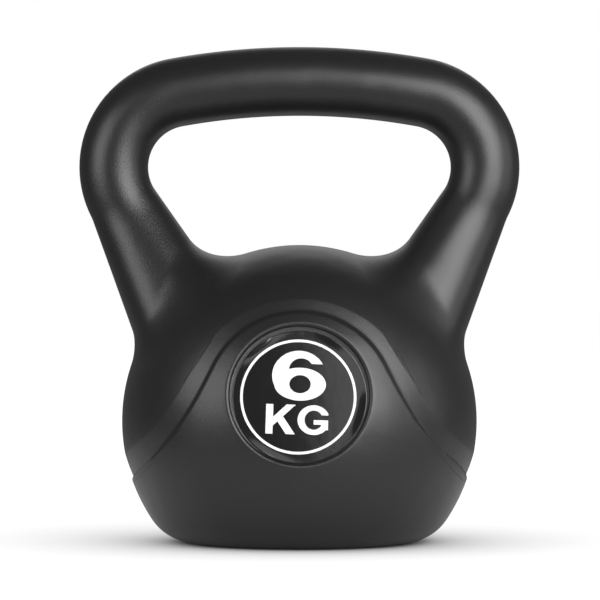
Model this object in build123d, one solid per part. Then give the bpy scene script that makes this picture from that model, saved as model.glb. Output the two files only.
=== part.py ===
from build123d import *

import os
from math import atan2, cos, degrees, radians, sin, sqrt, tan

# Kettlebell, 6 kg: a one-piece blow-moulded plastic shell that is filled with cement mortar through
# a port in its base. A push-in plug closes the port. A round label sits in a recess on each side.
#
# Frame, in millimetres: origin on the floor under the middle of the bell, +X to the right along the
# grip, +Y to the back, +Z up. The outline lies in the XZ plane, which is also the mould's parting plane.

# ---------------------------------------------------------------- bell: ball and flat base
BALL_RADIUS = 85.0
BALL_CENTRE_Z = 58.0            # the ball is cut off flat below its centre, at the floor
BASE_EDGE_RADIUS = 24.0         # rounding from the ball into the flat base
WALL = 3.0                      # plastic wall of the shell

# ---------------------------------------------------------------- handle
OVERALL_HEIGHT = 237.2
GRIP_RADIUS = 16.5              # half the thickness of the grip
GRIP_BOW_RADIUS = 332.0         # the grip's centreline bows up slightly along this arc
CORNER_RADIUS = 36.4            # centreline radius of the two corners
CORNER_CENTRE_X = 52.7
LEG_LEAN = 27.5                 # degrees between a leg's axis and the vertical
LEG_FLARE = 7.5                 # degrees between a leg's side and its axis, widening downwards
LEG_BLEND_RADIUS = 24.0         # fillet where a leg runs into the ball

# ---------------------------------------------------------------- shallow band round the bell
BAND_DEPTH = 0.9
BAND_OUTER_RISE = 58.5          # top of the band's outer edge above the ball's centre
BAND_OUTER_ARCH_RADIUS = 54.8
BAND_OUTER_FLARE_RADIUS = 95.0
BAND_INNER_RISE = 53.3          # top of the band's inner edge above the ball's centre
BAND_INNER_ARCH_RADIUS = 45.2
BAND_INNER_FLARE_RADIUS = 173.0
BAND_SLOPE = 63.0               # degrees from the horizontal of the band's shoulders
BAND_SHOULDER = 9.0             # straight length below the arch, before the flanks flare out
BAND_FLARE = 25.0               # degrees that the flanks turn outwards

# ---------------------------------------------------------------- label recess, one on each side
RECESS_TILT = 10.7              # degrees that the recess faces upwards
RECESS_RADIUS = 32.0
RECESS_DEPTH = 1.8              # from the recess's lip to its floor
RECESS_LIP_RADIUS = 0.7

# ---------------------------------------------------------------- labels
LABEL_CLEARANCE = 1.3           # between the label's edge and the recess wall
LABEL_THICKNESS = 0.3
PRINT_THICKNESS = 0.1
RING_MARGIN = 4.1               # from the label's edge in to the printed ring
RING_STROKE = 1.2
# How each label was stuck on: degrees turned anticlockwise, and millimetres off centre, right and up.
LABEL_PLACING = {"front": (-1.9, 0.2, -0.85), "back": (0.6, -0.2, -0.3)}
PRINT_SHIFT = -0.7              # the print's centre on the label, to the right of the label's own

# The printed weight, in plain letters. Places are from the label's centre, right and up, and are
# drawn for a ring of PRINT_DRAWN_RADIUS; the print is scaled to the ring that the label has.
PRINT_DRAWN_RADIUS = 26.6
DIGIT_CENTRE = (0.0, 9.8)
DIGIT_HALF_SIZE = (12.3, 11.55)
BOWL_CENTRE = (0.6, 5.87)
BOWL_HALF_SIZE = (11.85, 7.62)
BOWL_HOLE_HALF_SIZE = (4.9, 4.2)
HOOK_HOLE_CENTRE = (0.9, 12.5)
HOOK_HOLE_HALF_SIZE = (5.6, 5.4)
HOOK_END_Y = 15.4               # the digit's upper stroke ends here, cut off level
LETTER_TOP_Y = -3.7
LETTER_BOTTOM_Y = -17.4
K_LEFT_X = -14.5
K_STEM_WIDTH = 3.25
K_RIGHT_X = -1.0
K_ARM_WIDTH = 4.15              # width of the arm and of the leg, measured along the letter's edge
K_WAIST = (-6.7, -9.2)          # where the arm and the leg meet on the right
G_CENTRE_X = 7.4
G_HALF_WIDTH = 7.4
G_STROKE_X = 3.2
G_STROKE_Y = 2.4
G_RIGHT_X = 14.0
G_BAR_TOP_Y = -10.5
G_BAR_THICKNESS = 2.1
G_GAP = 2.3

# ---------------------------------------------------------------- filling port and its plug
BASE_RECESS_RADIUS = 35.0
BASE_RECESS_DEPTH = 3.0
PORT_RADIUS = 18.0
PLUG_FLANGE_LIP = 4.0           # the flange reaches this far past the port's edge
PLUG_FLANGE_THICKNESS = 2.0
PLUG_SKIRT_LENGTH = 9.0         # from the flange into the port
PLUG_WALL = 2.0
PLUG_BEAD_HEIGHT = 0.6          # the snap bead stands this far out past the port's edge
PLUG_BEAD_WIDTH = 1.6
PLUG_CLEARANCE = 0.15           # between the skirt and the port, and under the bead
PLUG_POCKET_CLEARANCE = 0.8     # between the plug and the mortar around it

# ---------------------------------------------------------------- worked out from the above
BALL_CENTRE = Vector(0, 0, BALL_CENTRE_Z)
BOW_CENTRE_Z = OVERALL_HEIGHT - GRIP_RADIUS - GRIP_BOW_RADIUS
CORNER_CENTRE_Z = BOW_CENTRE_Z + sqrt((GRIP_BOW_RADIUS - CORNER_RADIUS) ** 2 - CORNER_CENTRE_X ** 2)
GRIP_END_ANGLE = degrees(atan2(CORNER_CENTRE_Z - BOW_CENTRE_Z, CORNER_CENTRE_X))
RECESS_SETBACK = sqrt(BALL_RADIUS ** 2 - RECESS_RADIUS ** 2) - RECESS_DEPTH
LABEL_RADIUS = RECESS_RADIUS - LABEL_CLEARANCE
RING_OUTER_RADIUS = LABEL_RADIUS - RING_MARGIN
PLUG_FLANGE_RADIUS = PORT_RADIUS + PLUG_FLANGE_LIP
LARGE = 4 * (BALL_RADIUS + OVERALL_HEIGHT)      # size of a cutting block that outreaches the part


def on_circle(centre_x, centre_z, radius, angle):
    """The point of a circle in the XZ plane at an angle in degrees from +X towards +Z."""
    return Vector(centre_x + radius * cos(radians(angle)), 0, centre_z + radius * sin(radians(angle)))


def mirrored(point):
    """The same point on the other side of the YZ plane."""
    return Vector(-point.X, point.Y, point.Z)


def handle_path():
    """Centreline from the top of the left leg, over the grip, to the top of the right leg."""
    grip_end = on_circle(0, BOW_CENTRE_Z, GRIP_BOW_RADIUS, GRIP_END_ANGLE)
    grip_middle = on_circle(0, BOW_CENTRE_Z, GRIP_BOW_RADIUS, 90)
    corner_angle = (GRIP_END_ANGLE - LEG_LEAN) / 2
    corner_middle = on_circle(CORNER_CENTRE_X, CORNER_CENTRE_Z, CORNER_RADIUS, corner_angle)
    leg_top = on_circle(CORNER_CENTRE_X, CORNER_CENTRE_Z, CORNER_RADIUS, -LEG_LEAN)
    left_corner = ThreePointArc(mirrored(leg_top), mirrored(corner_middle), mirrored(grip_end))
    grip = ThreePointArc(mirrored(grip_end), grip_middle, grip_end)
    right_corner = ThreePointArc(grip_end, corner_middle, leg_top)
    return Wire([left_corner, grip, right_corner])


def leg_cone(side, radius):
    """One leg, from the end of the handle's corner to beside the ball's centre; side is 1 or -1."""
    right_top = on_circle(CORNER_CENTRE_X, CORNER_CENTRE_Z, CORNER_RADIUS, -LEG_LEAN)
    top = Vector(side * right_top.X, 0, right_top.Z)
    down = Vector(-side * sin(radians(LEG_LEAN)), 0, -cos(radians(LEG_LEAN)))
    length = (BALL_CENTRE - top).dot(down)
    place = Plane(origin=top, x_dir=(0, 1, 0), z_dir=down)
    end_radius = radius + length * tan(radians(LEG_FLARE))
    return place * Cone(radius, end_radius, length, align=(Align.CENTER, Align.CENTER, Align.MIN))


def bell_form(inset):
    """Ball, legs and handle as one smooth solid, every surface moved inwards by inset."""
    ball_radius = BALL_RADIUS - inset
    tube_radius = GRIP_RADIUS - inset
    # The ball's seam is turned to the back, clear of the legs and their fillets.
    ball = Pos(0, 0, BALL_CENTRE_Z) * Rotation(0, 0, 90) * Sphere(ball_radius)
    path = handle_path()
    section = Plane(origin=path @ 0, z_dir=path % 0) * Circle(tube_radius)
    form = ball + sweep(section, path=path)
    for side in (1, -1):
        form = form + leg_cone(side, tube_radius)

    def where_leg_meets_ball(edge):
        points = [edge.position_at(t) for t in (0, 0.25, 0.5, 0.75, 1)]
        on_ball = all(abs((point - BALL_CENTRE).length - ball_radius) < 0.01 for point in points)
        return on_ball and abs(edge.center().X) > tube_radius

    form = fillet(form.edges().filter_by(where_leg_meets_ball), LEG_BLEND_RADIUS + inset)
    below_floor = Pos(0, 0, inset) * Box(LARGE, LARGE, LARGE, align=(Align.CENTER, Align.CENTER, Align.MAX))
    form = form - below_floor
    base_edge = form.faces().sort_by(Axis.Z)[0].edges()
    return fillet(base_edge, BASE_EDGE_RADIUS - inset)


def downwards(slope):
    """The direction that points down to the right at an angle in degrees below the horizontal."""
    return Vector(cos(radians(slope)), 0, -sin(radians(slope)))


def band_edge(rise, arch_radius, flare_radius):
    """One edge of the band in the XZ plane, left to right: an arch with straight shoulders, then flanks
    that flare out and run out past the ball."""
    arch_centre_z = BALL_CENTRE_Z + rise - arch_radius
    top = Vector(0, 0, BALL_CENTRE_Z + rise)
    arch_end = on_circle(0, arch_centre_z, arch_radius, 90 - BAND_SLOPE)
    shoulder_end = arch_end + BAND_SHOULDER * downwards(BAND_SLOPE)
    flare_centre = shoulder_end + flare_radius * downwards(BAND_SLOPE - 90)
    flare_start_angle = 270 - BAND_SLOPE
    flare_middle, flare_end = (
        on_circle(flare_centre.X, flare_centre.Z, flare_radius, flare_start_angle + share * BAND_FLARE)
        for share in (0.5, 1))
    far_end = flare_end + BALL_RADIUS * downwards(BAND_SLOPE - BAND_FLARE)
    left_half = [
        Line(mirrored(far_end), mirrored(flare_end)),
        ThreePointArc(mirrored(flare_end), mirrored(flare_middle), mirrored(shoulder_end)),
        Line(mirrored(shoulder_end), mirrored(arch_end)),
    ]
    right_half = [
        Line(arch_end, shoulder_end),
        ThreePointArc(shoulder_end, flare_middle, flare_end),
        Line(flare_end, far_end),
    ]
    return left_half + [ThreePointArc(mirrored(arch_end), top, arch_end)] + right_half


def band_groove():
    """What is cut away for the band: the strip between its two edges, on the ball's skin only."""
    outer = band_edge(BAND_OUTER_RISE, BAND_OUTER_ARCH_RADIUS, BAND_OUTER_FLARE_RADIUS)
    inner = band_edge(BAND_INNER_RISE, BAND_INNER_ARCH_RADIUS, BAND_INNER_FLARE_RADIUS)
    left_cap = Line(outer[0] @ 0, inner[0] @ 0)
    right_cap = Line(outer[-1] @ 1, inner[-1] @ 1)
    strip = make_face(outer + inner + [left_cap, right_cap])
    through = extrude(strip, amount=LARGE / 2, dir=(0, 1, 0), both=True)
    skin = Sphere(BALL_RADIUS + BAND_DEPTH) - Sphere(BALL_RADIUS - BAND_DEPTH)
    return through & (Pos(0, 0, BALL_CENTRE_Z) * Rotation(0, 0, 90) * skin)


def recess_plane(side, distance):
    """The plane at a distance from the ball's centre along a recess's axis; side is front or back."""
    facing = {"front": -1, "back": 1}[side]
    outwards = Vector(0, facing * cos(radians(RECESS_TILT)), sin(radians(RECESS_TILT)))
    return Plane(origin=BALL_CENTRE + outwards * distance, x_dir=(-facing, 0, 0), z_dir=outwards)


def recess_cut(side, radius, distance):
    """A round cut along a recess's axis, from the given distance outwards."""
    return recess_plane(side, distance) * extrude(Circle(radius), BALL_RADIUS)


def shell():
    """The plastic skin: outer form less its cavity, with the band, recesses and filling port."""
    outer = bell_form(0) - band_groove()
    for side in ("front", "back"):
        outer = outer - recess_cut(side, RECESS_RADIUS, RECESS_SETBACK)
    lips = outer.edges().filter_by(is_recess_lip)
    outer = fillet(lips, RECESS_LIP_RADIUS)
    outer = outer - extrude(Circle(BASE_RECESS_RADIUS), BASE_RECESS_DEPTH)
    port = extrude(Circle(PORT_RADIUS), BASE_RECESS_DEPTH + 2 * WALL)
    return outer - cavity() - port


def is_recess_lip(edge):
    """True for an edge where a label recess breaks through the ball: it runs round a recess axis."""
    points = [edge.position_at(t) for t in (0, 0.25, 0.5, 0.75, 1)]
    for side in ("front", "back"):
        axis = recess_plane(side, 0).z_dir
        offsets = [(point - BALL_CENTRE).cross(axis).length - RECESS_RADIUS for point in points]
        heights = [(point - BALL_CENTRE).dot(axis) for point in points]
        if all(abs(offset) < 0.01 for offset in offsets) and min(heights) > RECESS_SETBACK + RECESS_DEPTH / 2:
            return True
    return False


def cavity():
    """The hollow inside the skin, pushed in behind the label recesses and the base recess."""
    hollow = bell_form(WALL)
    for side in ("front", "back"):
        hollow = hollow - recess_cut(side, RECESS_RADIUS + WALL, RECESS_SETBACK - WALL)
    return hollow - extrude(Circle(BASE_RECESS_RADIUS + WALL), BASE_RECESS_DEPTH + WALL)


def mortar_fill():
    """The cast weight: it fills the cavity, apart from the room that the plug takes."""
    pocket_radius = PORT_RADIUS + PLUG_BEAD_HEIGHT + PLUG_POCKET_CLEARANCE
    pocket_top = BASE_RECESS_DEPTH + PLUG_SKIRT_LENGTH + PLUG_POCKET_CLEARANCE
    return cavity() - extrude(Circle(pocket_radius), pocket_top)


def filler_plug():
    """Push-in plug: a flat flange on the recess floor, a hollow skirt and a bead behind the wall."""
    skirt_radius = PORT_RADIUS - PLUG_CLEARANCE
    bead_radius = PORT_RADIUS + PLUG_BEAD_HEIGHT
    flange_top = BASE_RECESS_DEPTH
    flange_bottom = flange_top - PLUG_FLANGE_THICKNESS
    skirt_top = flange_top + PLUG_SKIRT_LENGTH
    bead_bottom = BASE_RECESS_DEPTH + WALL + PLUG_CLEARANCE
    bead_middle = bead_bottom + PLUG_BEAD_WIDTH / 2
    profile = Polyline(
        (0, 0, flange_bottom),
        (PLUG_FLANGE_RADIUS, 0, flange_bottom),
        (PLUG_FLANGE_RADIUS, 0, flange_top),
        (skirt_radius, 0, flange_top),
        (skirt_radius, 0, bead_bottom),
        (bead_radius, 0, bead_middle),
        (skirt_radius, 0, bead_bottom + PLUG_BEAD_WIDTH),
        (skirt_radius, 0, skirt_top),
        (skirt_radius - PLUG_WALL, 0, skirt_top),
        (skirt_radius - PLUG_WALL, 0, flange_top),
        (0, 0, flange_top),
        close=True,
    )
    return revolve(make_face(profile), Axis.Z)


def on_label(side, height):
    """The place of a label's centre and edge, at a height above the recess floor."""
    turn, right, up = LABEL_PLACING[side]
    return recess_plane(side, RECESS_SETBACK + height) * Pos(right, up, 0) * Rotation(0, 0, turn)


def label_film(side):
    """The round sticker, lying on the recess floor."""
    return on_label(side, 0) * extrude(Circle(LABEL_RADIUS), LABEL_THICKNESS)


def ellipse(centre, half_size):
    """A filled ellipse at a place on the label."""
    return Pos(*centre) * Ellipse(*half_size)


def block(low_x, high_x, low_y, high_y):
    """A filled rectangle between two corners on the label."""
    return Pos((low_x + high_x) / 2, (low_y + high_y) / 2) * Rectangle(high_x - low_x, high_y - low_y)


def digit_six():
    """The digit: a tall ellipse and a wide bowl, with the bowl's hole and the hook's hollow cut out."""
    bowl = ellipse(BOWL_CENTRE, BOWL_HALF_SIZE)
    right = DIGIT_CENTRE[0] + 2 * DIGIT_HALF_SIZE[0]
    open_side = block(HOOK_HOLE_CENTRE[0], right, BOWL_CENTRE[1], HOOK_END_Y)
    hollow = (ellipse(HOOK_HOLE_CENTRE, HOOK_HOLE_HALF_SIZE) + open_side) - bowl
    return ellipse(DIGIT_CENTRE, DIGIT_HALF_SIZE) + bowl - ellipse(BOWL_CENTRE, BOWL_HOLE_HALF_SIZE) - hollow


def letter_k():
    """The letter K: an upright stem, and an arm and a leg that meet at the waist."""
    stem = block(K_LEFT_X, K_LEFT_X + K_STEM_WIDTH, LETTER_BOTTOM_Y, LETTER_TOP_Y)
    waist_x, waist_y = K_WAIST
    arm_slope = (LETTER_TOP_Y - waist_y) / (K_RIGHT_X - waist_x)
    stem_x = K_LEFT_X + K_STEM_WIDTH / 2
    arm_end_y = waist_y - arm_slope * (waist_x - stem_x)
    arm = make_face(Polyline(
        (K_RIGHT_X, LETTER_TOP_Y),
        (waist_x, waist_y),
        (stem_x, arm_end_y),
        (stem_x, arm_end_y + arm_slope * K_ARM_WIDTH),
        (K_RIGHT_X - K_ARM_WIDTH, LETTER_TOP_Y),
        close=True,
    ))
    leg = make_face(Polyline(
        (K_RIGHT_X, LETTER_BOTTOM_Y),
        (waist_x, waist_y),
        (waist_x - K_ARM_WIDTH, waist_y),
        (K_RIGHT_X - K_ARM_WIDTH, LETTER_BOTTOM_Y),
        close=True,
    ))
    return stem + arm + leg


def letter_g():
    """The letter G: an elliptical ring, opened on the right and closed off with a bar and a spur."""
    middle = (G_CENTRE_X, (LETTER_TOP_Y + LETTER_BOTTOM_Y) / 2)
    half_height = (LETTER_TOP_Y - LETTER_BOTTOM_Y) / 2
    ring = ellipse(middle, (G_HALF_WIDTH, half_height))
    ring = ring - ellipse(middle, (G_HALF_WIDTH - G_STROKE_X, half_height - G_STROKE_Y))
    ring = ring - block(G_CENTRE_X, G_CENTRE_X + 2 * G_HALF_WIDTH, G_BAR_TOP_Y, G_BAR_TOP_Y + G_GAP)
    bar = block(G_CENTRE_X, G_RIGHT_X, G_BAR_TOP_Y - G_BAR_THICKNESS, G_BAR_TOP_Y)
    spur = block(G_RIGHT_X - G_STROKE_X, G_RIGHT_X, LETTER_BOTTOM_Y + G_STROKE_Y, G_BAR_TOP_Y)
    clip = block(G_CENTRE_X - 2 * G_HALF_WIDTH, G_RIGHT_X, LETTER_BOTTOM_Y, LETTER_TOP_Y)
    return (ring + bar + spur) & clip


def label_print(side):
    """The white ink: a ring round the weight, as thin solids on top of the sticker."""
    place = on_label(side, LABEL_THICKNESS) * Pos(PRINT_SHIFT, 0, 0)
    ring = Circle(RING_OUTER_RADIUS) - Circle(RING_OUTER_RADIUS - RING_STROKE)
    enlargement = RING_OUTER_RADIUS / PRINT_DRAWN_RADIUS
    weight = [scale(mark, by=enlargement) for mark in (digit_six(), letter_k(), letter_g())]
    return Compound([place * extrude(mark, PRINT_THICKNESS) for mark in [ring, *weight]])


def build_parts():
    """Every node of the kettlebell, by name."""
    parts = {"shell": shell(), "mortar_fill": mortar_fill(), "filler_plug": filler_plug()}
    for side in ("front", "back"):
        parts[f"label_{side}"] = label_film(side)
        parts[f"label_{side}_print"] = label_print(side)
    return parts


os.makedirs("parts", exist_ok=True)
for name, solid in build_parts().items():
    export_step(solid, f"parts/{name}.step")
    print(f"{name}: {len(solid.solids())} solid(s), {solid.volume / 1000:.2f} cm3")
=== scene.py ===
from collections import namedtuple
from math import atan2, cos, pi, radians, sin, sqrt, tan

import bmesh
import bpy
import numpy as np
from bpy.props import FloatProperty, FloatVectorProperty, PointerProperty
from bpy.types import Operator, Panel, PropertyGroup
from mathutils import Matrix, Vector


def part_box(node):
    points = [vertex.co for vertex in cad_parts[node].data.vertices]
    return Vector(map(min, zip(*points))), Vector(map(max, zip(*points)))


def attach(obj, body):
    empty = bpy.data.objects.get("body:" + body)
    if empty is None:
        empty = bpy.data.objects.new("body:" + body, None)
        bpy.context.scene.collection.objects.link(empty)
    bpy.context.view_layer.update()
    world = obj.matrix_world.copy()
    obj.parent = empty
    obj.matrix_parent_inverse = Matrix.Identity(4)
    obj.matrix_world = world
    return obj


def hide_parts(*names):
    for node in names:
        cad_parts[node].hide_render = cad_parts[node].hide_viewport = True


bl_info = {
    "name": "Cement-filled kettlebell",
    "version": (1, 0, 0),
    "blender": (4, 5, 0),
    "location": "3D View > Sidebar > Kettlebell",
    "description": "Skins a kettlebell's frame with its moulded shell, labels and finishes",
    "category": "Add Mesh",
}

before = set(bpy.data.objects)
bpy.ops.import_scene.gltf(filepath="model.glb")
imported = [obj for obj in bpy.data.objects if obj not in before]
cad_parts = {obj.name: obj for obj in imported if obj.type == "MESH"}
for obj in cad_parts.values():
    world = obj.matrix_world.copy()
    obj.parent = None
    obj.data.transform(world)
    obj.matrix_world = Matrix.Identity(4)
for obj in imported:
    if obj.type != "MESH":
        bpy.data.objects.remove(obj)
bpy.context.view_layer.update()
BODY = "root"
MM = 0.001


# ------------------------------------------------------------------ sizes and colours a user may change

def size(name, description, default):
    """A length in metres."""
    return FloatProperty(name=name, description=description, default=default, unit="LENGTH", precision=5)


def tilt(name, description, degrees):
    """An angle, given in degrees and kept in radians."""
    return FloatProperty(name=name, description=description, default=radians(degrees), subtype="ANGLE")


def colour(name, description, default):
    """A linear colour."""
    return FloatVectorProperty(name=name, description=description, default=default, subtype="COLOR",
                               size=4, min=0, max=1)


def share(name, description, default):
    """A number from 0 to 1."""
    return FloatProperty(name=name, description=description, default=default, min=0, max=1)


class KettlebellForm(PropertyGroup):
    """The bell and its handle."""
    height: size("Height", "Floor to the top of the grip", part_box("shell")[1][2])
    ball_radius: size("Ball radius", "Radius of the round bell", 0.085)
    ball_z: size("Ball centre", "Height of the ball's centre above the floor", 0.058)
    base_edge: size("Base edge", "Rounding between the ball and its flat base", 0.024)
    wall: size("Wall", "Thickness of the moulded skin", 0.003)
    grip_radius: size("Grip radius", "Half the thickness of the grip", 0.0165)
    bow_radius: size("Grip bow", "Radius of the arc that the grip's centreline follows", 0.332)
    corner_radius: size("Corner radius", "Centreline radius of the handle's corners", 0.0364)
    corner_x: size("Corner place", "Distance of a corner's centre from the middle", 0.0527)
    leg_lean: tilt("Leg lean", "Angle of a leg's axis from the vertical", 27.5)
    leg_flare: tilt("Leg flare", "Angle of a leg's side from its axis", 7.5)
    flare_start: size("Flare start", "Length over which the flare begins", 0.0005)
    depth_flare: tilt("Depth flare", "The same angle towards the front and back, at the leg's root", 19)
    depth_ease: size("Depth ease", "Length over which the depth's flare sets in", 0.015)
    leg_squareness: share("Leg squareness", "How far a leg's section flattens in front at its root", 1.0)
    inner_blend: size("Inner blend", "Rounding into the ball on the opening's side", 0.0182)
    outer_blend: size("Outer blend", "Rounding into the ball on the outer side", 0.0058)
    crown_drop: size("Crown drop", "How much lower than round the ball's top lies", 0.0008)


class KettlebellBand(PropertyGroup):
    """The shallow band that runs round the bell."""
    outer_rise: size("Outer rise", "Top of the outer edge above the ball's centre", 0.0585)
    outer_arch: size("Outer arch", "Radius of the outer edge's arch", 0.0548)
    outer_flare: size("Outer flare", "Radius that the outer edge's flanks flare out along", 0.095)
    inner_rise: size("Inner rise", "Top of the crease above the ball's centre", 0.0533)
    inner_arch: size("Inner arch", "Radius of the crease's arch", 0.0452)
    inner_flare: size("Inner flare", "Radius that the crease's flanks flare out along", 0.173)
    slope: tilt("Shoulder slope", "Angle of the straight shoulders from the horizontal", 63)
    shoulder: size("Shoulder", "Straight length below the arch", 0.009)
    flare: tilt("Flare", "Angle that the flanks turn outwards", 25)
    depth: size("Depth", "How far the crease lies below the ball", 0.0011)
    step_width: size("Step width", "Width of the steep side of the crease", 0.0022)


class KettlebellLabel(PropertyGroup):
    """The recesses and the stickers in them."""
    recess_tilt: tilt("Recess tilt", "Angle that a recess faces upwards", 10.7)
    recess_radius: size("Recess radius", "Radius of the recess wall", 0.032)
    recess_depth: size("Recess depth", "From the lip to the floor", 0.0018)
    lip_radius: size("Lip rounding", "Rounding of the recess lip", 0.0015)
    film_radius: size("Film radius", "Radius of the sticker", 0.0307)
    film_thickness: size("Film thickness", "Thickness of the sticker", 0.0003)
    film_lift: size("Film lift", "How far the sticker's rim curls up at most", 0.0009)
    front_right: size("Front label right", "How far right of the middle the front sticker sits", 0.0002)
    front_up: size("Front label up", "How far above the middle the front sticker sits", -0.00085)
    back_right: size("Back label right", "How far right of the middle the back sticker sits", -0.0002)
    back_up: size("Back label up", "How far above the middle the back sticker sits", -0.0003)


class KettlebellBase(PropertyGroup):
    """The recess and filling port under the bell."""
    recess_radius: size("Recess radius", "Radius of the recess in the base", 0.035)
    recess_depth: size("Recess depth", "Depth of the recess in the base", 0.003)
    port_radius: size("Port radius", "Radius of the filling port", 0.018)
    edge_radius: size("Edge rounding", "Rounding of the recess edge", 0.0008)


class KettlebellFinish(PropertyGroup):
    """Colours and surface finishes."""
    shell: colour("Shell", "Moulded plastic", (0.007, 0.007, 0.0074, 1))
    shell_roughness: share("Shell roughness", "Satin mould finish", 0.36)
    plug: colour("Plug", "Plug plastic", (0.014, 0.014, 0.0145, 1))
    film: colour("Film", "Black sticker", (0.006, 0.006, 0.0065, 1))
    ink: colour("Ink", "White print", (0.66, 0.66, 0.69, 1))
    mortar: colour("Mortar", "Cast cement mortar", (0.30, 0.29, 0.27, 1))


class KettlebellStudio(PropertyGroup):
    """Camera, floor and lights."""
    camera_distance: size("Camera distance", "Camera to the middle of the bell", 1.60)
    camera_height: size("Camera height", "Camera above the floor", 0.1158)
    floor_size: size("Floor size", "Side of the floor", 12.0)
    floor: colour("Floor", "Pale studio floor", (1.0, 1.0, 1.0, 1))
    lens: FloatProperty(name="Lens", description="Focal length in millimetres", default=200)
    sideways: FloatProperty(name="Shift", description="Sideways shift of the picture", default=0.001)
    floor_glow: FloatProperty(name="Floor brightness", description="How bright the open floor looks",
                              default=1.06)
    shadow_reach: size("Shadow reach", "How far off things still darken the floor", 0.20)
    pool_glow: share("Pool brightness", "Light that the floor throws back near the middle", 0.80)
    pool_near: size("Pool inner reach", "Out to here the floor throws back all of it", 0.12)
    pool_far: size("Pool outer reach", "From here on it throws back no more than the room", 0.45)
    surroundings: share("Surroundings", "Brightness of the room round the lights", 0.16)


# ------------------------------------------------------------------ the skin as a signed gap

TINY = 1e-9                     # keeps a division away from zero


def centreline(form):
    """Where the handle's centreline runs: the bow's and corners' centres, the angles they join at,
    and the top of the right leg."""
    bow_z = form.height - form.grip_radius - form.bow_radius
    corner_z = bow_z + sqrt((form.bow_radius - form.corner_radius) ** 2 - form.corner_x ** 2)
    grip_end = atan2(corner_z - bow_z, form.corner_x)
    leg_top = (form.corner_x + form.corner_radius * cos(form.leg_lean),
               corner_z - form.corner_radius * sin(form.leg_lean))
    return bow_z, corner_z, grip_end, leg_top


def leg_coordinates(form, x, z):
    """Distance along the right leg's axis from its top, and across it, outwards."""
    top_x, top_z = centreline(form)[3]
    along = -(x - top_x) * sin(form.leg_lean) - (z - top_z) * cos(form.leg_lean)
    across = (x - top_x) * cos(form.leg_lean) - (z - top_z) * sin(form.leg_lean)
    return along, across


def leg_gap(form, x, y, z):
    """Distance outside the right leg: how far the point lies beyond the section's unit curve, divided by
    how steeply that measure grows. Across the leg and to its front are each taken in half-widths of the
    section, raised to a power, added and brought back by the root. The power is 2 at the top, which is
    an ellipse, and grows down the leg, which flattens its faces. The half-width grows evenly and the
    half-depth grows faster."""
    along, across = leg_coordinates(form, x, z)
    reach = form.ball_radius + form.flare_start
    down = np.clip(along, 0, reach)
    flare = np.sqrt(down ** 2 + form.flare_start ** 2) - form.flare_start
    deepening = np.hypot(down, form.depth_ease) - form.depth_ease
    radius = form.grip_radius + tan(form.leg_flare) * flare
    depth = form.grip_radius + tan(form.depth_flare) * deepening
    power = 2 + form.leg_squareness * down / reach
    in_plane = np.hypot(across, along - down) / radius
    to_face = np.abs(y) / depth
    reach_out = np.maximum((in_plane ** power + to_face ** power) ** (1 / power), TINY)
    steepness = np.hypot(in_plane ** (power - 1) / radius, to_face ** (power - 1) / depth)
    steepness = np.maximum(steepness / reach_out ** (power - 1), TINY)
    return (reach_out - 1) / steepness * cos(form.leg_flare)


def handle_gap(form, x, y, z):
    """Distance outside the handle's skin: the least of those to a bowed grip, a corner arc and a leg,
    each a distance from its centreline less the grip's radius; both sides are alike."""
    x = np.abs(x)
    bow_z, corner_z, grip_end, _ = centreline(form)
    off_bow = np.hypot(np.hypot(x, z - bow_z) - form.bow_radius, y) - form.grip_radius
    off_bow = np.where(np.arctan2(z - bow_z, x) >= grip_end, off_bow, np.inf)
    corner_angle = np.arctan2(z - corner_z, x - form.corner_x)
    in_corner = (corner_angle <= grip_end) & (corner_angle >= -form.leg_lean)
    ring = np.hypot(x - form.corner_x, z - corner_z) - form.corner_radius
    off_corner = np.where(in_corner, np.hypot(ring, y) - form.grip_radius, np.inf)
    return np.minimum(np.minimum(off_bow, off_corner), leg_gap(form, x, y, z))


def skin_gap(form, x, y, z, inset=0.0):
    """Distance outside the skin, moved inwards by inset. Where the gaps to ball and handle are both
    under the blend radius, the two are joined by a round fillet of that radius, which goes smoothly
    from the inner blend to the outer one across a leg. The ball's crown is lowered a little, with a
    smooth start."""
    off_ball = np.sqrt(x ** 2 + y ** 2 + (z - form.ball_z) ** 2) - form.ball_radius
    crown = np.clip(3 * (z - form.ball_z) / form.ball_radius - 2, 0, 1)
    off_ball = off_ball + form.crown_drop * crown ** 2 * (3 - 2 * crown)
    off_handle = handle_gap(form, x, y, z)
    across = leg_coordinates(form, np.abs(x), z)[1]
    outwards = 0.5 + 0.5 * np.clip(across / form.grip_radius, -1, 1)
    outwards = outwards ** 2 * (3 - 2 * outwards)
    blend = form.inner_blend + (form.outer_blend - form.inner_blend) * outwards
    near_ball = np.maximum(blend - off_ball, 0)
    near_handle = np.maximum(blend - off_handle, 0)
    joined = np.maximum(blend, np.minimum(off_ball, off_handle)) - np.hypot(near_ball, near_handle)
    return joined + inset


def crossing(gap, inside, outside, halvings=34):
    """Halves the span between positions inside and outside the skin until they meet on it."""
    for _ in range(halvings):
        middle = (inside + outside) / 2
        within = gap(middle) < 0
        inside = np.where(within, middle, inside)
        outside = np.where(within, outside, middle)
    return (inside + outside) / 2


# ------------------------------------------------------------------ curves

def evenly(points, count):
    """Resamples a dense line of points to count points spaced evenly along it."""
    steps = np.linalg.norm(np.diff(points, axis=0), axis=1)
    walked = np.concatenate([[0], np.cumsum(steps)])
    at = np.linspace(0, walked[-1], count)
    return np.stack([np.interp(at, walked, points[:, k]) for k in range(points.shape[1])], axis=1)


WALK_POINTS = 6000              # points on a band line while it is walked
CROWDED_POINTS = 1600           # points on it once they crowd towards the side


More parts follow.
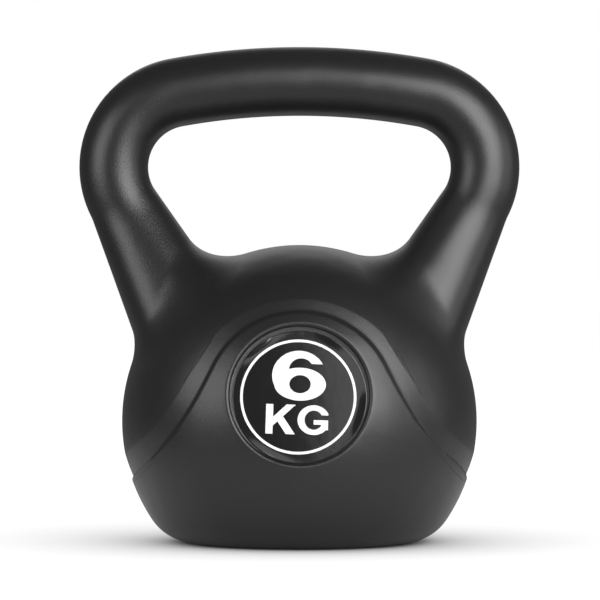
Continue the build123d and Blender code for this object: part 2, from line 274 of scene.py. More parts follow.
def band_line(form, band, share_in, inwards, depth, inset, count):
    """One line of the band over the front, left to right: an arch, straight shoulders and flanks that
    flare out to the ball's side, laid on the ball at a depth. share_in goes from the outer edge, 0, to
    the crease, 1, and inwards moves it on towards the label."""
    radius = form.ball_radius - inset - depth
    rise = band.outer_rise + (band.inner_rise - band.outer_rise) * share_in - inwards
    arch = band.outer_arch + (band.inner_arch - band.outer_arch) * share_in - inwards
    flare = band.outer_flare + (band.inner_flare - band.outer_flare) * share_in + inwards
    # The line's slope as it is walked: it steepens over the arch, holds, then eases over the flare.
    ends = np.cumsum([0, arch * band.slope, band.shoulder, flare * band.flare, form.ball_radius])
    walked = np.linspace(0, ends[-1], WALK_POINTS)
    eased = band.slope - band.flare
    slope = np.interp(walked, ends, [0, band.slope, band.slope, eased, eased])
    step = walked[1]
    x = np.concatenate([[0], np.cumsum(np.cos((slope[1:] + slope[:-1]) / 2))]) * step
    z = rise - np.concatenate([[0], np.cumsum(np.sin((slope[1:] + slope[:-1]) / 2))]) * step
    inside = radius ** 2 - x ** 2 - z ** 2
    last = int(np.argmax(inside < 0))
    part = inside[last - 1] / (inside[last - 1] - inside[last])
    # The points crowd towards the ball's side, where the skin turns away from the front.
    along = (last - 1 + part) * np.sin(np.linspace(0, pi / 2, CROWDED_POINTS))
    number = np.arange(len(x))
    x, z = np.interp(along, number, x), np.interp(along, number, z)
    y = -np.sqrt(np.maximum(radius ** 2 - x ** 2 - z ** 2, 0))
    y[-1] = 0
    right = evenly(np.stack([x, y, z + form.ball_z], axis=1), count // 2 + 1)
    centre = np.array([0, 0, form.ball_z])
    on_ball = right - centre
    on_ball *= radius / np.linalg.norm(on_ball, axis=1, keepdims=True)
    right = on_ball + centre
    left = right[:0:-1] * np.array([-1, 1, 1])
    return np.concatenate([left, right])


FLATTEST = 0.1                  # the flat base is never sought in directions flatter than this


def bell_reach(form, inset, down):
    """Distance from the ball's centre to the skin in a direction that points down by an angle: the
    ball, then the rounded base edge, then the flat base."""
    ball = form.ball_radius - inset
    edge = form.base_edge - inset
    floor = form.ball_z - inset
    edge_z = form.ball_z - form.base_edge
    edge_x = sqrt((form.ball_radius - form.base_edge) ** 2 - edge_z ** 2)
    toward_edge = edge_x * np.cos(down) + edge_z * np.sin(down)
    inside_root = np.maximum(toward_edge ** 2 - edge_x ** 2 - edge_z ** 2 + edge ** 2, 0)
    on_edge = toward_edge + np.sqrt(inside_root)
    on_floor = floor / np.maximum(np.sin(down), FLATTEST)
    reach = np.where(down > atan2(edge_z, edge_x), on_edge, ball)
    return np.where(down > atan2(floor, edge_x), on_floor, reach)


def on_bell(form, inset, direction):
    """The point of the bell's skin in each direction from the ball's centre."""
    direction = direction / np.linalg.norm(direction, axis=-1, keepdims=True)
    down = np.arcsin(np.clip(-direction[..., 2], -1, 1))
    reach = bell_reach(form, inset, down)
    return direction * reach[..., None] + np.array([0, 0, form.ball_z])


ARC_POINTS = 200                # points on each arc of the handle's edge before it is spaced evenly
RAYS = 300                      # rays over a leg's edge before it is spaced evenly
DOME_RAYS = 400                 # the same over the top of the ball
RAY_STEPS = 500                 # places tried along a ray


def outline(form, inset, count):
    """The right half of the handle's two edges in the plane of the outline, from the leg's top round
    the corner to the middle of the grip: matching points on the outer and the inner edge."""
    bow_z, corner_z, grip_end, _ = centreline(form)
    thick = form.grip_radius - inset
    corner = np.linspace(-form.leg_lean, grip_end, ARC_POINTS)
    bow = np.linspace(grip_end, pi / 2, ARC_POINTS)[1:]

    def edge(offset):
        corner_r = form.corner_radius + offset
        bow_r = form.bow_radius + offset
        x = np.concatenate([form.corner_x + corner_r * np.cos(corner), bow_r * np.cos(bow)])
        z = np.concatenate([corner_z + corner_r * np.sin(corner), bow_z + bow_r * np.sin(bow)])
        return np.stack([x, z], axis=1)

    middle = evenly(np.concatenate([edge(0), edge(thick), edge(-thick)], axis=1), count)
    return middle[:, 2:4], middle[:, 4:6]


def silhouette(form, inset, angles):
    """Where rays from the opening's centre meet the skin in the outline's plane: the first and the
    last crossing along each ray, as points (x, z)."""
    origin_z = centreline(form)[1]
    ray_x, ray_z = np.cos(angles)[:, None], np.sin(angles)[:, None]

    def gap(reach):
        return skin_gap(form, ray_x * reach, 0 * reach, origin_z + ray_z * reach, inset)

    reach = np.linspace(0, 2 * form.ball_radius + form.corner_radius, RAY_STEPS)[None, :] + 0 * ray_x
    within = gap(reach) < 0
    first = within.argmax(axis=1)
    last = within.shape[1] - 1 - within[:, ::-1].argmax(axis=1)
    row = np.arange(len(angles))
    enter = crossing(gap, reach[row, first][:, None], reach[row, first - 1][:, None])
    after = np.minimum(last + 1, within.shape[1] - 1)
    leave = crossing(gap, reach[row, last][:, None], reach[row, after][:, None])
    to_point = np.concatenate([ray_x, ray_z], axis=1)
    middle = np.array([0, origin_z])
    return middle + to_point * enter, middle + to_point * leave


def mantle_columns(form, inset, top_line, handle_count):
    """Pairs of points (x, z) that each column of the mantle runs between: its outer end and its inner
    end on the opening's edge. They go left to right along the band's outer line, then back over the
    right leg, the grip and the left leg."""
    corner_z = centreline(form)[1]
    leg_count = handle_count // 4
    over = outline(form, inset, leg_count + 1)
    band_end = top_line[-1]
    end_angle = atan2(band_end[2] - corner_z, band_end[0])
    leg_outer_end, leg_inner_end = over[0][0], over[1][0]
    angles = np.linspace(end_angle, atan2(leg_outer_end[1] - corner_z, leg_outer_end[0]), RAYS)
    leg_outer = evenly(silhouette(form, inset, angles)[1], leg_count + 1)
    angles = np.linspace(end_angle, atan2(leg_inner_end[1] - corner_z, leg_inner_end[0]), RAYS)
    leg_inner = evenly(silhouette(form, inset, angles)[0], leg_count + 1)
    angles = np.linspace(-pi - end_angle, end_angle, DOME_RAYS)
    dome = evenly(silhouette(form, inset, angles)[0], len(top_line))
    right_outer = np.concatenate([leg_outer[:-1], over[0]])
    right_inner = np.concatenate([leg_inner[:-1], over[1]])
    flip = np.array([-1, 1])
    outer = np.concatenate([top_line[:, [0, 2]], right_outer[1:], right_outer[-2:0:-1] * flip])
    inner = np.concatenate([dome, right_inner[1:], right_inner[-2:0:-1] * flip])
    return outer, inner


MANTLE_STEPS = 60               # places tried outwards before the skin's crossing is halved
DENSE_TURNS = 120               # points on a column of the mantle before it is spaced evenly


def mantle(form, inset, top_line, handle_count, rows):
    """Front half of the ball's upper part and the handle. Each column is the skin's section by a plane
    that holds both its ends and runs front to back, spaced evenly from the outer end to the opening."""
    outer, inner = mantle_columns(form, inset, top_line, handle_count)
    start_y = np.zeros(len(outer))
    start_y[:len(top_line)] = -top_line[:, 1]
    centre = (outer + inner) / 2
    half = np.linalg.norm(outer - inner, axis=1)
    heading = (outer - inner) / half[:, None]
    start = np.arctan2(start_y, half / 2)[:, None]
    longest = 2 * form.ball_radius

    def points(turn, reach):
        x = centre[:, :1] + heading[:, :1] * np.cos(turn) * reach
        z = centre[:, 1:] + heading[:, 1:] * np.cos(turn) * reach
        return x, -np.sin(turn) * reach, z

    def reach_at(turn):
        near, far = np.zeros_like(turn), np.zeros_like(turn)
        step = longest / MANTLE_STEPS
        outside = np.zeros(turn.shape, bool)
        for k in range(1, MANTLE_STEPS + 1):
            far_now = np.where(outside, far, k * step)
            hit = (skin_gap(form, *points(turn, far_now), inset) > 0) & ~outside
            near = np.where(outside | hit, near, k * step)
            far = far_now
            outside |= hit
        return crossing(lambda reach: skin_gap(form, *points(turn, reach), inset), near, far)

    turn = start + (pi - start) * np.linspace(0, 1, DENSE_TURNS)[None, :]
    reach = reach_at(turn)
    x, y, z = points(turn, reach)
    steps = np.sqrt(np.diff(x) ** 2 + np.diff(y) ** 2 + np.diff(z) ** 2)
    walked = np.concatenate([np.zeros((len(outer), 1)), np.cumsum(steps, axis=1)], axis=1)
    share_walked = walked / walked[:, -1:]
    even = np.linspace(0, 1, rows + 1)
    turn = np.stack([np.interp(even, share_walked[k], turn[k]) for k in range(len(outer))])
    grid = np.stack(points(turn, reach_at(turn)), axis=2)
    grid[:len(top_line), 0] = top_line
    grid[len(top_line):, 0, 1] = 0
    grid[:, -1, 1] = 0
    return grid


DENSE_SIDE = 400                # points down the bell's side before they are spaced evenly


def bell_edge(form, inset, band_foot, foot_radius, side_count, foot_count):
    """The closed edge of the bell's front half, clockwise from the band's left end: along the band's
    foot, down the right side in the outline's plane, round the front of a circle on the base, and up
    the left side."""
    down_from = atan2(form.ball_z - band_foot[-1, 2], band_foot[-1, 0])
    down_to = atan2(form.ball_z - inset, foot_radius)
    down = np.linspace(down_from, down_to, DENSE_SIDE)
    side = on_bell(form, inset, np.stack([np.cos(down), 0 * down, -np.sin(down)], axis=1))
    side = evenly(side, side_count + 1)
    side[0] = band_foot[-1]
    around = np.linspace(0, pi, foot_count + 1)
    foot = np.stack([foot_radius * np.cos(around), -foot_radius * np.sin(around), 0 * around + inset],
                    axis=1)
    foot[[0, -1], 1] = 0
    left = side[::-1] * np.array([-1, 1, 1])
    return np.concatenate([band_foot, side[1:-1], foot, left[1:-1]])


def recess_axes(label):
    """Unit directions of the front recess: outwards, to the right and up."""
    outwards = np.array([0, -cos(label.recess_tilt), sin(label.recess_tilt)])
    across = np.array([1.0, 0, 0])
    return outwards, across, np.cross(outwards, across)


OWN_SHARE = 0.35                # how far a bell column's angle at the lip follows that of its far end
DENSE_COLUMN = 200              # points on a bell column before it is spaced evenly


def bell_side(form, label, inset, edge, lip_angle, rows):
    """Front half of the bell between the recess lip and its edge: each column is a great circle from
    the lip to the edge, laid on the skin and spaced evenly. The columns leave the lip at angles partway
    between the edge's own and even ones, so that none of them cross."""
    outwards, across, upwards = recess_axes(label)
    to_edge = edge - np.array([0, 0, form.ball_z])
    to_edge /= np.linalg.norm(to_edge, axis=1, keepdims=True)
    around = np.unwrap(np.arctan2(to_edge @ upwards, to_edge @ across))
    steps = np.linalg.norm(np.diff(np.concatenate([edge, edge[:1]]), axis=0), axis=1)
    even_around = around[0] - 2 * pi * (np.cumsum(steps) - steps) / steps.sum()
    around = OWN_SHARE * around + (1 - OWN_SHARE) * even_around
    radial = np.cos(around)[:, None] * across + np.sin(around)[:, None] * upwards
    from_lip = cos(lip_angle) * outwards + sin(lip_angle) * radial
    apart = np.arccos(np.clip(np.sum(from_lip * to_edge, axis=1), -1, 1))[:, None]

    def column(turn):
        near, far = np.sin((1 - turn) * apart), np.sin(turn * apart)
        direction = near[..., None] * from_lip[:, None] + far[..., None] * to_edge[:, None]
        return on_bell(form, inset, direction)

    turn = np.linspace(0, 1, DENSE_COLUMN)[None, :] + 0 * apart
    dense = column(turn)
    walked = np.cumsum(np.linalg.norm(np.diff(dense, axis=1), axis=2), axis=1)
    walked = np.concatenate([np.zeros((len(edge), 1)), walked], axis=1)
    share_walked = walked / walked[:, -1:]
    even = np.linspace(0, 1, rows + 1)
    turn = np.stack([np.interp(even, share_walked[k], turn[k]) for k in range(len(edge))])
    grid = column(turn)
    grid[:, -1] = edge
    return grid, around


def rings(profile, around, outwards, across, upwards, origin):
    """A profile of (radius, height) carried round an axis at the given angles, closed by a centre
    point where the last radius is zero."""
    radius, height = np.array(profile).T
    radial = np.cos(around)[:, None] * across + np.sin(around)[:, None] * upwards
    return origin + radius[None, :, None] * radial[:, None, :] + height[None, :, None] * outwards


def arc_profile(centre, radius, start, end, count):
    """Points of an arc in a profile, angles in radians from the radius axis."""
    angle = np.linspace(start, end, count)
    return [(centre[0] + radius * cos(a), centre[1] + radius * sin(a)) for a in angle]


LABEL_FOOT = 0.4 * MM           # rounding at the foot of a label recess's wall
BASE_FOOT = 0.5 * MM            # the same in the base recess


def recess_profile(form, label):
    """From the rounded lip on the ball, down the recess wall and over its floor to the middle."""
    lip = label.lip_radius
    floor = sqrt(form.ball_radius ** 2 - label.recess_radius ** 2) - label.recess_depth
    lip_x = label.recess_radius + lip
    lip_z = sqrt((form.ball_radius - lip) ** 2 - lip_x ** 2)
    lip_angle = atan2(lip_x, lip_z)
    profile = arc_profile((lip_x, lip_z), lip, pi / 2 - lip_angle, pi, 9)
    foot_centre = label.recess_radius - LABEL_FOOT, floor + LABEL_FOOT
    profile += arc_profile(foot_centre, LABEL_FOOT, 0, -pi / 2, 5)
    profile += [(0.92 * label.recess_radius, floor), (0.5 * label.recess_radius, floor), (0.0, floor)]
    return profile, lip_angle


def facet_profile(form, label, inset):
    """The flat that the cavity has behind a label recess."""
    floor = sqrt(form.ball_radius ** 2 - label.recess_radius ** 2) - label.recess_depth - inset
    edge = sqrt((form.ball_radius - inset) ** 2 - floor ** 2)
    return [(edge, floor), (0.5 * edge, floor), (0.0, floor)], atan2(edge, floor)


def base_profile(base):
    """From the flat base over the recess edge, up to the recess floor, to the port and through it."""
    edge, depth, round_off = base.recess_radius, base.recess_depth, base.edge_radius
    profile = arc_profile((edge + round_off, round_off), round_off, -pi / 2, -pi, 6)
    profile += arc_profile((edge - BASE_FOOT, depth - BASE_FOOT), BASE_FOOT, 0, pi / 2, 5)
    return profile + [(0.75 * edge, depth), (base.port_radius, depth)]


def quads(grid, first, close=False):
    """Faces of a grid of vertices numbered from first, row by row; close joins its last column to
    its first."""
    columns, rows = grid.shape[:2]
    number = first + np.arange(columns * rows).reshape(columns, rows)
    if close:
        number = np.concatenate([number, number[:1]])
    corners = [number[:-1, :-1], number[1:, :-1], number[1:, 1:], number[:-1, 1:]]
    return np.stack(corners, axis=2).reshape(-1, 4)


# How finely each part of the skin is divided: points along the band, round the handle and down the
# side, points round the base, and rows of the mantle and of the bell.
Detail = namedtuple("Detail", "arch handle mantle_rows side foot bell_rows")
OUTSIDE_DETAIL = Detail(arch=168, handle=232, mantle_rows=42, side=22, foot=48, bell_rows=36)
CAVITY_DETAIL = Detail(arch=72, handle=96, mantle_rows=16, side=8, foot=48, bell_rows=12)

# The band's section, down a gentle slope and up the crease's steep side: for each line the share of the
# way from the outer edge to the crease, of the crease's width, and of the band's depth.
BAND_SECTION = (
    (0, 0, 0), (0.05, 0, 0.02), (0.12, 0, 0.09), (0.30, 0, 0.29), (0.55, 0, 0.56), (0.8, 0, 0.83),
    (0.95, 0, 0.98), (1, 0.05, 1.0), (1, 0.25, 0.86), (1, 0.45, 0.52), (1, 0.65, 0.2), (1, 0.82, 0.04),
    (1, 1, 0))


def front_half(form, band, label, base, inset, detail):
    """Every grid of the skin's front half, with whether each is closed into a ring. The cavity, which
    lies inset under the outside, has no band."""
    section = BAND_SECTION if inset == 0 else (BAND_SECTION[0], BAND_SECTION[-1])
    strip = np.stack([band_line(form, band, share_in, inwards * band.step_width, sunk * band.depth,
                                inset, detail.arch)
                      for share_in, inwards, sunk in section], axis=1)
    if inset == 0:
        recess, lip_angle = recess_profile(form, label)
        foot_radius = base.recess_radius + base.edge_radius
        under = base_profile(base)
    else:
        recess, lip_angle = facet_profile(form, label, inset)
        foot_radius = base.recess_radius + inset
        boss = base.recess_depth + inset
        under = [(foot_radius, inset), (foot_radius, boss), (base.port_radius, boss),
                 (base.port_radius, base.recess_depth)]
    edge = bell_edge(form, inset, strip[:, -1], foot_radius, detail.side, detail.foot)
    bell, around = bell_side(form, label, inset, edge, lip_angle, detail.bell_rows)
    centre = np.array([0, 0, form.ball_z])
    hollow = rings(recess, around, *recess_axes(label), centre)
    half_turn = np.linspace(0, pi, detail.foot + 1)
    down_axes = (np.array([0, 0, 1.0]), np.array([1.0, 0, 0]), np.array([0, -1.0, 0]))
    port = rings(under, half_turn, *down_axes, np.zeros(3))
    port[[0, -1], :, 1] = 0
    top = mantle(form, inset, strip[:, 0], detail.handle, detail.mantle_rows)
    return [(top, True), (strip, False), (bell, True), (hollow, True), (port, False)]


def whole_skin(form, band, label, base, inset, detail):
    """Vertices and faces of the skin: its front half's grids and their mirror image at the back."""
    vertices, faces, count = [], [], 0
    for grid, closed in front_half(form, band, label, base, inset, detail):
        for mirror in (1, -1):
            vertices.append(grid.reshape(-1, 3) * np.array([1, mirror, 1]))
            faces.append(quads(grid, count, closed)[:, ::mirror])
            count += grid.shape[0] * grid.shape[1]
    return np.concatenate(vertices), np.concatenate(faces)


# ------------------------------------------------------------------ the stickers

STICKER_COLUMNS = 180
CURL_FROM = 0.875               # share of the sticker's radius from which its rim curls up
UNDERSIDE = 0.98                # share of the film's thickness down to its underside, just off the floor
# The places where the rim curls up: the middle and the width in degrees, and the share of the lift.
RIM_HUMPS = ((128, 15, 1.0), (-15, 12, 0.7), (-118, 18, 0.45), (60, 10, 0.3))


def sticker(form, label, facing, place):
    """A thin round film on the recess floor: rings over the top, round the edge and under it. Its rim
    curls up by a few smooth humps of its angle, which grow over the outer eighth of its radius."""
    floor = sqrt(form.ball_radius ** 2 - label.recess_radius ** 2) - label.recess_depth
    around = np.linspace(0, 2 * pi, STICKER_COLUMNS + 1)[:-1]
    steps = np.concatenate([[0], np.linspace(0.5, 0.86, 6), np.linspace(CURL_FROM, 1, 11)])
    lift = np.zeros_like(around)
    for middle, width, height in RIM_HUMPS:
        away = np.angle(np.exp(1j * (around - radians(middle))))
        lift += height * np.exp(-(away / radians(width)) ** 2)
    curl = np.clip((steps - CURL_FROM) / (1 - CURL_FROM), 0, 1) ** 2
    top = floor + label.film_thickness + label.film_lift * lift[:, None] * curl[None, :]
    radius = label.film_radius * np.concatenate([steps, steps[::-1]])
    height = np.concatenate([top, top[:, ::-1] - label.film_thickness * UNDERSIDE], axis=1)
    outwards, across, upwards = recess_axes(label)
    radial = np.cos(around)[:, None] * across + np.sin(around)[:, None] * upwards
    grid = radius[None, :, None] * radial[:, None, :] + height[..., None] * outwards
    grid = grid + place[0] * across + place[1] * upwards
    grid = (grid + np.array([0, 0, form.ball_z])) * np.array([facing, facing, 1])
    return grid.reshape(-1, 3), quads(grid, 0, close=True)


# ------------------------------------------------------------------ meshes and pieces

WELD = 1e-6                     # vertices closer than this are one


def make_piece(name, vertices, faces, material):
    """A smooth-shaded object whose mesh has its doubles merged and its faces turned outwards."""
    mesh = bpy.data.meshes.new(name)
    mesh.from_pydata(vertices.tolist(), [], faces.tolist())
    tidy = bmesh.new()
    tidy.from_mesh(mesh)
    bmesh.ops.remove_doubles(tidy, verts=tidy.verts, dist=WELD)
    bmesh.ops.dissolve_degenerate(tidy, edges=tidy.edges, dist=WELD)
    bmesh.ops.recalc_face_normals(tidy, faces=tidy.faces)
    tidy.to_mesh(mesh)
    tidy.free()
    mesh.polygons.foreach_set("use_smooth", np.ones(len(mesh.polygons), bool))
    mesh.materials.append(material)
    piece = bpy.data.objects.new(name, mesh)
    bpy.context.scene.collection.objects.link(piece)
    return piece


def wear(node, material):
    """Gives a carried-over node of the frame its material."""
    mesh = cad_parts[node].data
    mesh.materials.clear()
    mesh.materials.append(material)


# ------------------------------------------------------------------ materials

class Shader:
    """A small helper that adds nodes to one material and joins them."""

    def __init__(self, name):
        self.material = bpy.data.materials.new(name)
        self.material.use_nodes = True
        self.nodes = self.material.node_tree.nodes
        self.links = self.material.node_tree.links
        self.surface = self.nodes["Principled BSDF"]
        self.place = self.add("ShaderNodeTexCoord").outputs["Object"]

    def add(self, kind, **settings):
        node = self.nodes.new(kind)
        for key, value in settings.items():
            setattr(node, key, value)
        return node

    def join(self, source, target):
        self.links.new(source, target)
        return target

    def noise(self, scale, detail=2.0, roughness=0.5):
        """Noise over the object's own coordinates; scale is features per metre."""
        node = self.add("ShaderNodeTexNoise")
        self.join(self.place, node.inputs["Vector"])
        node.inputs["Scale"].default_value = scale
        node.inputs["Detail"].default_value = detail
        node.inputs["Roughness"].default_value = roughness
        return node.outputs["Fac"]

    def ranged(self, value, low, high):
        """Spreads a value from 0 to 1 over low to high."""
        node = self.add("ShaderNodeMapRange")
        self.join(value, node.inputs["Value"])
        node.inputs["To Min"].default_value = low
        node.inputs["To Max"].default_value = high
        return node.outputs["Result"]

    def mixed(self, factor, first, second):
        """A colour mixed from two by a factor."""
        node = self.add("ShaderNodeMix", data_type="RGBA")
        self.join(factor, node.inputs["Factor"])
        node.inputs["A"].default_value = first
        node.inputs["B"].default_value = second
        return node.outputs["Result"]

    def math(self, operation, first, second=0.0):
        """One arithmetic step on a socket and a socket or number."""
        node = self.add("ShaderNodeMath", operation=operation)
        for socket, value in zip(node.inputs, (first, second)):
            if isinstance(value, (int, float)):
                socket.default_value = value
            else:
                self.join(value, socket)
        return node.outputs["Value"]

    def bumped(self, height, distance, before=None):
        """Bump from a height, on top of any bump that comes before it."""
        node = self.add("ShaderNodeBump")
        self.join(height, node.inputs["Height"])
        node.inputs["Distance"].default_value = distance
        if before is not None:
            self.join(before, node.inputs["Normal"])
        return node.outputs["Normal"]


def scaled(rgba, factor):
    """A colour made lighter or darker."""
    return [channel * factor for channel in rgba[:3]] + [1]


SEAM_HALF_WIDTH = 0.45 * MM     # of the raised line where the mould halves met


def moulded_plastic(name, tone, roughness):
    """Satin black plastic: fine mould grain, a slow unevenness from blowing, slight tone changes and a
    faint line where the mould halves met."""
    shader = Shader(name)
    grain = shader.noise(1400, 3.0, 0.6)
    slow = shader.noise(26, 2.0, 0.5)
    patches = shader.noise(60, 4.0, 0.6)
    colours = shader.mixed(patches, scaled(tone, 0.85), scaled(tone, 1.15))
    shader.join(colours, shader.surface.inputs["Base Color"])
    sheen = shader.ranged(grain, roughness - 0.05, roughness + 0.07)
    shader.join(sheen, shader.surface.inputs["Roughness"])
    apart = shader.add("ShaderNodeSeparateXYZ")
    shader.join(shader.place, apart.inputs["Vector"])
    off_plane = shader.math("ABSOLUTE", apart.outputs["Y"])
    line = shader.math("SUBTRACT", 1.0, shader.math("MULTIPLY", off_plane, 1 / SEAM_HALF_WIDTH))
    ridge = shader.math("MAXIMUM", line, 0.0)
    normal = shader.bumped(slow, 0.9 * MM)
    normal = shader.bumped(grain, 0.09 * MM, normal)
    normal = shader.bumped(ridge, 0.12 * MM, normal)
    shader.join(normal, shader.surface.inputs["Normal"])
    return shader.material


def glossy_film(name, tone):
    """Black printed film: high gloss over a slightly uneven glue layer."""
    shader = Shader(name)
    slow = shader.noise(70, 2.0, 0.5)
    fine = shader.noise(900, 2.0, 0.6)
    colours = shader.mixed(fine, scaled(tone, 0.8), scaled(tone, 1.2))
    shader.join(colours, shader.surface.inputs["Base Color"])
    shader.join(shader.ranged(slow, 0.07, 0.12), shader.surface.inputs["Roughness"])
    normal = shader.bumped(slow, 0.06 * MM)
    shader.join(shader.bumped(fine, 0.004 * MM, normal), shader.surface.inputs["Normal"])
    return shader.material


def white_ink(name, tone):
    """Screen-printed white, slightly mottled, under the film's gloss."""
    shader = Shader(name)
    mottle = shader.noise(500, 3.0, 0.6)
    colours = shader.mixed(mottle, scaled(tone, 0.95), scaled(tone, 1.03))
    shader.join(colours, shader.surface.inputs["Base Color"])
    shader.join(shader.ranged(mottle, 0.28, 0.38), shader.surface.inputs["Roughness"])
    shader.join(shader.bumped(mottle, 0.006 * MM), shader.surface.inputs["Normal"])
    return shader.material


def cement_mortar(name, tone):
    """Cast cement mortar: sandy grain, pores and pale patches."""
    shader = Shader(name)
    sand = shader.noise(900, 6.0, 0.7)
    patches = shader.noise(35, 4.0, 0.6)
    colours = shader.mixed(patches, scaled(tone, 0.75), scaled(tone, 1.2))
    shader.join(colours, shader.surface.inputs["Base Color"])
    shader.join(shader.ranged(sand, 0.8, 0.98), shader.surface.inputs["Roughness"])
    shader.join(shader.bumped(sand, 0.5 * MM), shader.surface.inputs["Normal"])
    return shader.material


# ------------------------------------------------------------------ operators

class AddShell(Operator):
    """Makes the moulded skin, outside and inside, in place of the plain one"""
    bl_idname = "kettlebell.shell"
    bl_label = "Moulded shell"

    def execute(self, context):
        scene = context.scene
        form, band, label, base = (scene.kettlebell_form, scene.kettlebell_band,
                                   scene.kettlebell_label, scene.kettlebell_base)
        outside, outside_faces = whole_skin(form, band, label, base, 0.0, OUTSIDE_DETAIL)
        inside, inside_faces = whole_skin(form, band, label, base, form.wall, CAVITY_DETAIL)
        vertices = np.concatenate([outside, inside])
        faces = np.concatenate([outside_faces, inside_faces + len(outside)])
        finish = scene.kettlebell_finish
        plastic = moulded_plastic("moulded_plastic", finish.shell, finish.shell_roughness)
        piece = make_piece("moulded_shell", vertices, faces, plastic)
        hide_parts("shell")
        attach(piece, BODY)
        return {"FINISHED"}


class AddLabels(Operator):
    """Makes the two stickers, with their rims lifted a little, and finishes the print on them"""
    bl_idname = "kettlebell.labels"
    bl_label = "Labels"

    def execute(self, context):
        scene = context.scene
        form, label, finish = scene.kettlebell_form, scene.kettlebell_label, scene.kettlebell_finish
        film = glossy_film("label_film", finish.film)
        ink = white_ink("label_ink", finish.ink)
        for side, facing in (("front", 1), ("back", -1)):
            place = getattr(label, f"{side}_right"), getattr(label, f"{side}_up")
            vertices, faces = sticker(form, label, facing, place)
            piece = make_piece(f"sticker_{side}", vertices, faces, film)
            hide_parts(f"label_{side}")
            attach(piece, BODY)
            wear(f"label_{side}_print", ink)
        return {"FINISHED"}


class FinishCore(Operator):
    """Finishes the filler plug and the mortar inside"""
    bl_idname = "kettlebell.core"
    bl_label = "Plug and mortar"

    def execute(self, context):
        finish = context.scene.kettlebell_finish
        wear("filler_plug", moulded_plastic("plug_plastic", finish.plug, 0.5))
        wear("mortar_fill", cement_mortar("cement_mortar", finish.mortar))
        return {"FINISHED"}


class SetStage(Operator):
    """Sets the pale floor, the soft lights and the camera"""
    bl_idname = "kettlebell.stage"
    bl_label = "Studio"

    def execute(self, context):
        scene = context.scene
        studio = scene.kettlebell_studio
        scene.view_settings.view_transform = "Standard"
        add_floor(studio)
        add_lights()
        add_world(studio)
        add_camera(studio)
        return {"FINISHED"}


DULL_GREY = (0.1, 0.1, 0.1, 1)  # the floor takes little of the lamps' light beside its own glow


def add_floor(studio):
    """A large pale floor that glows evenly to the camera, with a painted shadow that darkens its glow
    only where things stand over it.
    The light that it throws back at the object fades away from the middle, as under lamps that stand
    close."""
    half = studio.floor_size / 2
    corners = np.array([[-half, -half, 0], [half, -half, 0], [half, half, 0], [-half, half, 0]])
    shader = Shader("studio_floor")
    mottle = shader.noise(3, 2.0, 0.5)
    tone = shader.mixed(mottle, scaled(studio.floor, 0.99), scaled(studio.floor, 1.0))
    # Painted shadow: ambient occlusion darkens the floor's glow under and around the bell, as a painted
    # contact shadow.
    painted_shadow = shader.add("ShaderNodeAmbientOcclusion", samples=16)
    painted_shadow.inputs["Distance"].default_value = studio.shadow_reach
    shader.join(tone, painted_shadow.inputs["Color"])
    shader.surface.inputs["Base Color"].default_value = DULL_GREY
    shader.surface.inputs["Roughness"].default_value = 1.0
    shader.surface.inputs["Specular IOR Level"].default_value = 0.0
    shader.join(painted_shadow.outputs["Color"], shader.surface.inputs["Emission Color"])
    away = shader.add("ShaderNodeVectorMath", operation="LENGTH")
    shader.join(shader.place, away.inputs[0])
    fading = shader.add("ShaderNodeMapRange")
    shader.join(away.outputs["Value"], fading.inputs["Value"])
    fading.inputs["From Min"].default_value = studio.pool_near
    fading.inputs["From Max"].default_value = studio.pool_far
    fading.inputs["To Min"].default_value = studio.pool_glow
    fading.inputs["To Max"].default_value = studio.surroundings
    path = shader.add("ShaderNodeLightPath")
    seen = shader.add("ShaderNodeMix", data_type="FLOAT")
    shader.join(path.outputs["Is Camera Ray"], seen.inputs["Factor"])
    shader.join(fading.outputs["Result"], seen.inputs["A"])
    seen.inputs["B"].default_value = studio.floor_glow
    shader.join(seen.outputs["Result"], shader.surface.inputs["Emission Strength"])
    mesh = bpy.data.meshes.new("studio_floor")
    mesh.from_pydata(corners.tolist(), [], [[0, 1, 2, 3]])
    mesh.materials.append(shader.material)
    floor = bpy.data.objects.new("studio_floor", mesh)
    bpy.context.scene.collection.objects.link(floor)


def add_light(name, place, target, width, height, brightness):
    """A rectangular softbox that looks at a point; brightness 1 looks as bright as white paper."""
    light = bpy.data.lights.new(name, "AREA")
    light.shape = "RECTANGLE"
    light.size, light.size_y = width, height
    light.energy = brightness * pi * width * height
    lamp = bpy.data.objects.new(name, light)
    lamp.location = place
    aim = Vector(target) - Vector(place)
    lamp.rotation_euler = aim.to_track_quat("-Z", "Y").to_euler()
    bpy.context.scene.collection.objects.link(lamp)


MIDDLE = (0, 0, 0.12)           # the middle of the kettlebell


def add_lights():
    """A bright softbox close by on the right and a dimmer one on the left. Pale panels stand to the
    right, in front and high up on the right, and behind."""
    add_light("softbox_right", place=(0.32, -0.52, 0.32), target=(-0.14, -0.12, 0.14),
              width=0.54, height=0.52, brightness=7.0)
    add_light("softbox_left", place=(-0.50, -0.36, 0.27), target=MIDDLE,
              width=0.36, height=0.36, brightness=4.2)
    add_light("panel_right", place=(0.72, -0.12, 0.24), target=MIDDLE,
              width=0.36, height=0.44, brightness=1.6)
    add_light("panel_front", place=(0.30, -1.0, 0.50), target=MIDDLE,
              width=0.60, height=0.60, brightness=1.7)
    add_light("panel_back", place=(0, 1.6, 0.95), target=MIDDLE,
              width=1.3, height=0.9, brightness=0.8)


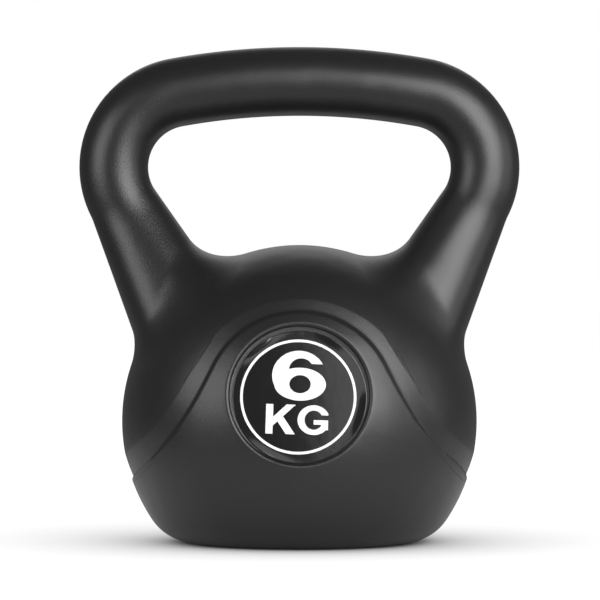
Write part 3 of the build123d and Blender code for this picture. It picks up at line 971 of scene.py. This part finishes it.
def add_world(studio):
    """White surroundings to the camera; the light that they give is set apart from that."""
    world = bpy.data.worlds.new("studio")
    world.use_nodes = True
    nodes, links = world.node_tree.nodes, world.node_tree.links
    nodes["Background"].inputs["Color"].default_value = (1, 1, 1, 1)
    nodes["Background"].inputs["Strength"].default_value = studio.surroundings
    shown = nodes.new("ShaderNodeBackground")
    shown.inputs["Color"].default_value = (1, 1, 1, 1)
    shown.inputs["Strength"].default_value = 1.0
    ray = nodes.new("ShaderNodeLightPath")
    mix = nodes.new("ShaderNodeMixShader")
    links.new(ray.outputs["Is Camera Ray"], mix.inputs["Fac"])
    links.new(nodes["Background"].outputs["Background"], mix.inputs[1])
    links.new(shown.outputs["Background"], mix.inputs[2])
    links.new(mix.outputs["Shader"], nodes["World Output"].inputs["Surface"])
    bpy.context.scene.world = world


FILM_WIDTH = 36                 # millimetres, of the camera's film


def add_camera(studio):
    """A long lens in front of the bell, level with its middle."""
    camera = bpy.data.cameras.new("camera")
    camera.lens = studio.lens
    camera.sensor_width = FILM_WIDTH
    camera.shift_x = studio.sideways
    eye = bpy.data.objects.new("camera", camera)
    eye.location = (0, -studio.camera_distance, studio.camera_height)
    eye.rotation_euler = (pi / 2, 0, 0)
    bpy.context.scene.collection.objects.link(eye)
    bpy.context.scene.camera = eye


class KettlebellPanel(Panel):
    """Lists the kettlebell's sizes, colours and operators"""
    bl_idname = "VIEW3D_PT_kettlebell"
    bl_label = "Kettlebell"
    bl_space_type = "VIEW_3D"
    bl_region_type = "UI"
    bl_category = "Kettlebell"

    def draw(self, context):
        for operator in OPERATORS:
            self.layout.operator(operator.bl_idname)
        for name in GROUPS:
            group = getattr(context.scene, name)
            box = self.layout.box()
            for key in group.__annotations__:
                box.prop(group, key)


GROUPS = {
    "kettlebell_form": KettlebellForm,
    "kettlebell_band": KettlebellBand,
    "kettlebell_label": KettlebellLabel,
    "kettlebell_base": KettlebellBase,
    "kettlebell_finish": KettlebellFinish,
    "kettlebell_studio": KettlebellStudio,
}
OPERATORS = (AddShell, AddLabels, FinishCore, SetStage)


def register():
    for group in GROUPS.values():
        bpy.utils.register_class(group)
    for name, group in GROUPS.items():
        setattr(bpy.types.Scene, name, PointerProperty(type=group))
    for operator in OPERATORS:
        bpy.utils.register_class(operator)
    bpy.utils.register_class(KettlebellPanel)


def unregister():
    bpy.utils.unregister_class(KettlebellPanel)
    for operator in reversed(OPERATORS):
        bpy.utils.unregister_class(operator)
    for name, group in GROUPS.items():
        delattr(bpy.types.Scene, name)
        bpy.utils.unregister_class(group)


def main():
    register()
    bpy.ops.kettlebell.stage()
    bpy.ops.kettlebell.shell()
    bpy.ops.kettlebell.labels()
    bpy.ops.kettlebell.core()


if __name__ == "__main__":
    main()
